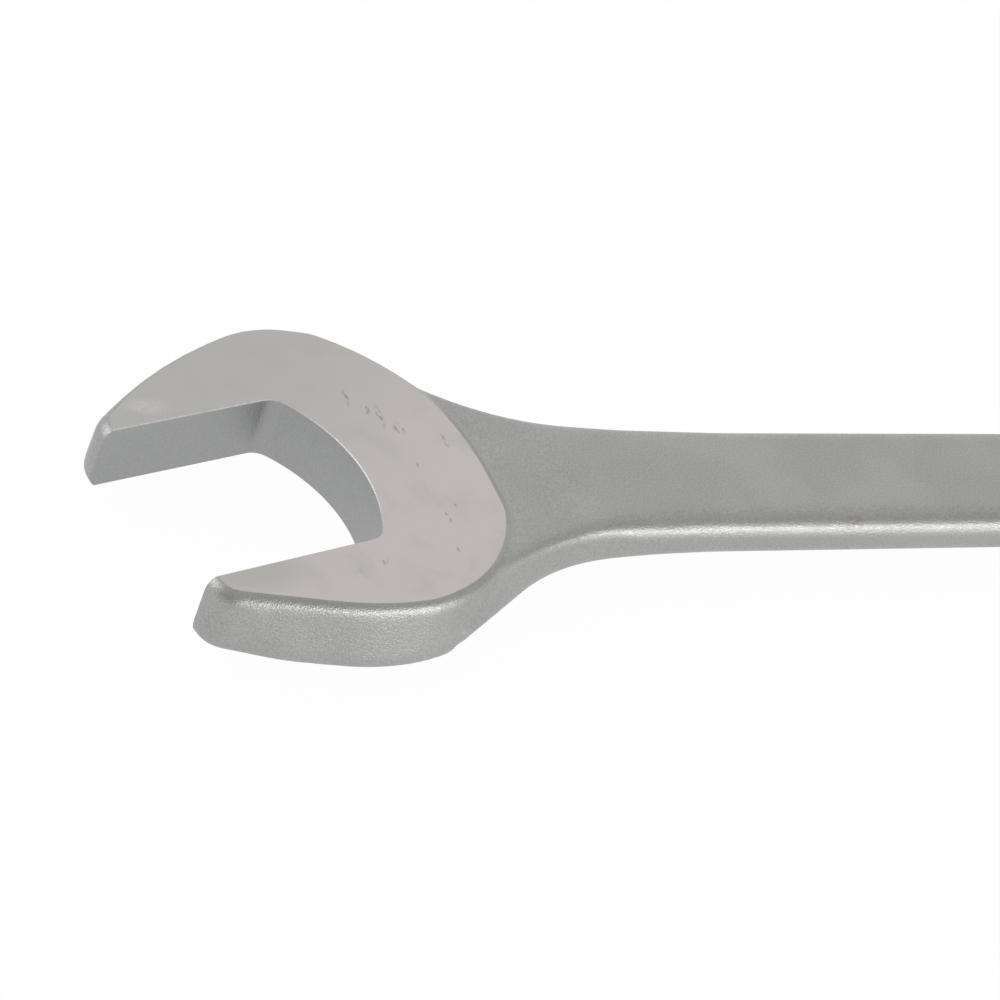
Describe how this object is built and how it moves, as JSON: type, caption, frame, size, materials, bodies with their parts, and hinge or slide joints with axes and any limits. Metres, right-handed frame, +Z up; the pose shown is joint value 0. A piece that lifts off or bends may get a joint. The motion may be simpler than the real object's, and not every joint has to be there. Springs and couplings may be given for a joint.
{
  "type": "combination wrench",
  "caption": "Combination wrench: angled open jaw, flat round-edged shank and a reversible ratchet ring with a thumb lever.",
  "frame": {"origin": "below the middle of the tool's box, on the surface that it lies on", "axes": "+X along the shank from the open jaw to the ring, +Z up, out of the side with the lever"},
  "size_m": [0.4, 0.0658, 0.0217],
  "materials": {
    "forged_body": "shot-blasted satin plating with ground flat faces",
    "drive_ring": "satin",
    "lower_thrust_washer": "satin",
    "upper_thrust_washer": "satin",
    "ring_retaining_clip": "dark spring steel",
    "pawl": "dark hardened steel",
    "pawl_pin": "ground",
    "reversing_lever": "satin",
    "lever_clip": "dark spring steel",
    "detent_plunger": "ground",
    "detent_spring": "spring wire"
  },
  "bodies": {
    "wrench_body": {"forged_body": "forged_body", "pawl_pin": "pawl_pin", "lower_thrust_washer": "lower_thrust_washer", "upper_thrust_washer": "upper_thrust_washer", "ring_retaining_clip": "ring_retaining_clip"},
    "ring": {"drive_ring": "drive_ring"},
    "pawl": {"pawl": "pawl"},
    "lever": {"reversing_lever": "reversing_lever", "lever_clip": "lever_clip", "detent_spring": "detent_spring"},
    "plunger": {"detent_plunger": "detent_plunger"}
  },
  "joints": [
    {"name": "ring_spin", "type": "hinge", "parent": "wrench_body", "child": "ring", "pos_m": [0.16914, 0, 0.0095], "axis": [0, 0, 1], "continuous": true},
    {"name": "lever_turn", "type": "hinge", "parent": "wrench_body", "child": "lever", "pos_m": [0.12658, 0, 0.0095], "axis": [0, 0, 1], "range_deg": [0, 50]},
    {"name": "pawl_rock", "type": "hinge", "parent": "wrench_body", "child": "pawl", "pos_m": [0.13908, 0, 0.0095], "axis": [0, 0, 1], "range_deg": [-8, 0]},
    {"name": "plunger_slide", "type": "slide", "parent": "lever", "child": "plunger", "axis": [0.9063, -0.4226, 0], "range_m": [-0.0008, 0], "stiffness_N_per_m": 400, "springref_m": 0.003, "deforming": ["detent_spring"]}
  ],
  "couplings": [
    {"joint": "pawl_rock", "follows": "lever_turn", "ratio": -0.16}
  ]
}
